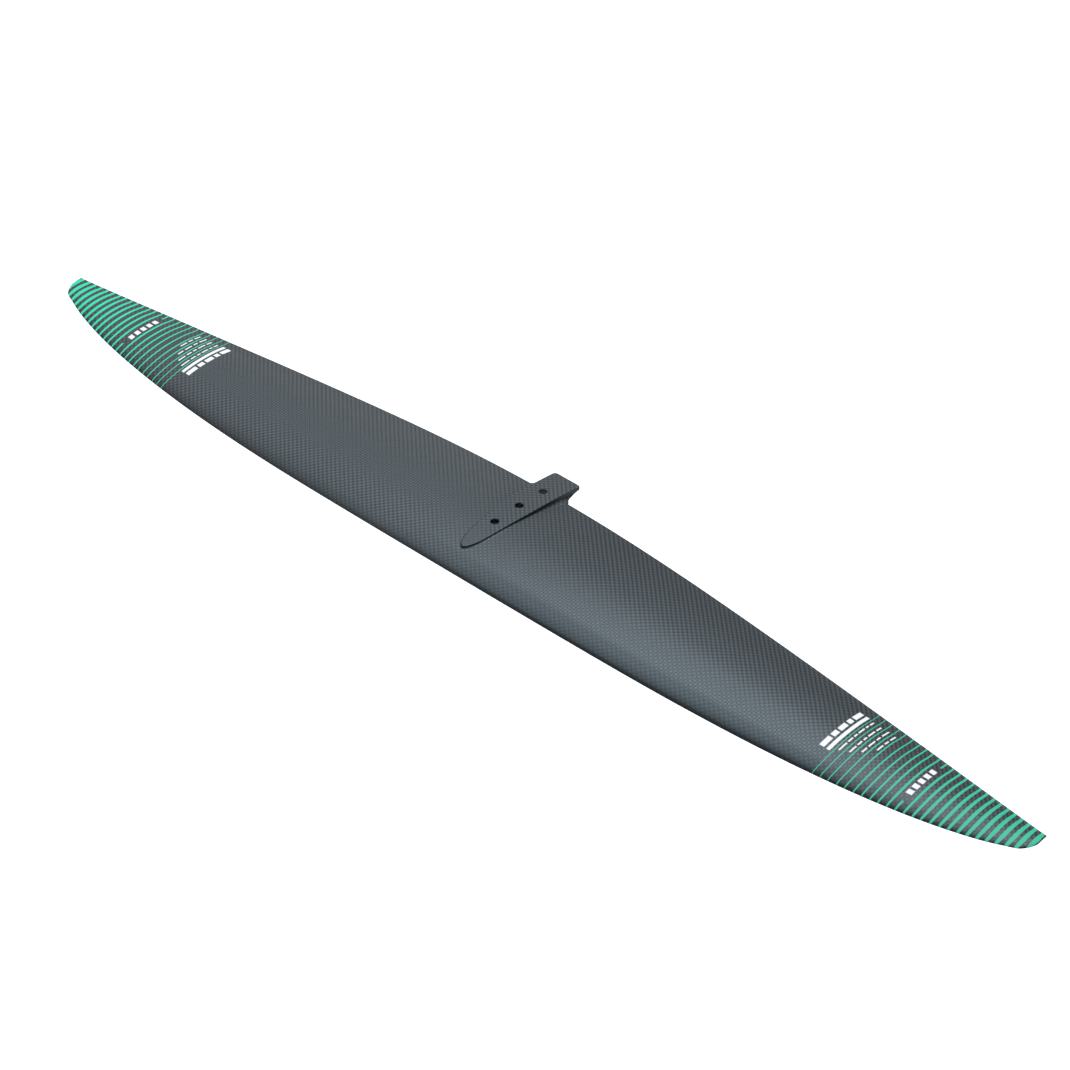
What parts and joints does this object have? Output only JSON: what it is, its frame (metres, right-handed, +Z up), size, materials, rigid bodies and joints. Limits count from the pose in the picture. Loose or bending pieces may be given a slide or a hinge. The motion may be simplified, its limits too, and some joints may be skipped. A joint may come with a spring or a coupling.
{
  "type": "hydrofoil front wing",
  "caption": "High-aspect carbon hydrofoil front wing with drooped, washed-out tips and a raised bullet-shaped mounting pad drilled for screws, with a short rear tongue.",
  "frame": {"origin": "on the mounting pad's face, on the centre plane, halfway between the front and the middle screw hole", "axes": "+X along the span towards the right tip, +Y aft towards the trailing edge, +Z up out of the pad side, with the wing in the attitude in which it rests on its two tips"},
  "size_m": [1.22, 0.168, 0.0344],
  "materials": {
    "carbon_skin": "satin clear-coated plain-weave carbon fibre",
    "carbon_pad": "satin moulded carbon fibre",
    "carbon_laminate": "plain solid carbon laminate",
    "foam_core": "closed-cell structural foam",
    "bond_filler": "cured epoxy bonding paste",
    "screw_seat": "turned stainless steel",
    "stripe_green": "satin mint green paint under the clear coat",
    "marking_white": "satin white paint under the clear coat"
  },
  "bodies": {
    "root": {"upper_skin": "carbon_skin", "lower_skin": "carbon_skin", "mounting_pad": "carbon_pad", "centre_block": "carbon_laminate", "upper_spar_cap": "carbon_laminate", "lower_spar_cap": "carbon_laminate", "shear_web_left": "carbon_laminate", "shear_web_right": "carbon_laminate", "leading_edge_filler_left": "bond_filler", "leading_edge_filler_right": "bond_filler", "front_core_left": "foam_core", "front_core_right": "foam_core", "rear_core_left": "foam_core", "rear_core_right": "foam_core", "trailing_edge_filler_left": "bond_filler", "trailing_edge_filler_right": "bond_filler", "tip_block_left": "carbon_laminate", "tip_block_right": "carbon_laminate", "screw_seat_front": "screw_seat", "screw_seat_middle": "screw_seat", "screw_seat_rear": "screw_seat"}
  },
  "joints": []
}
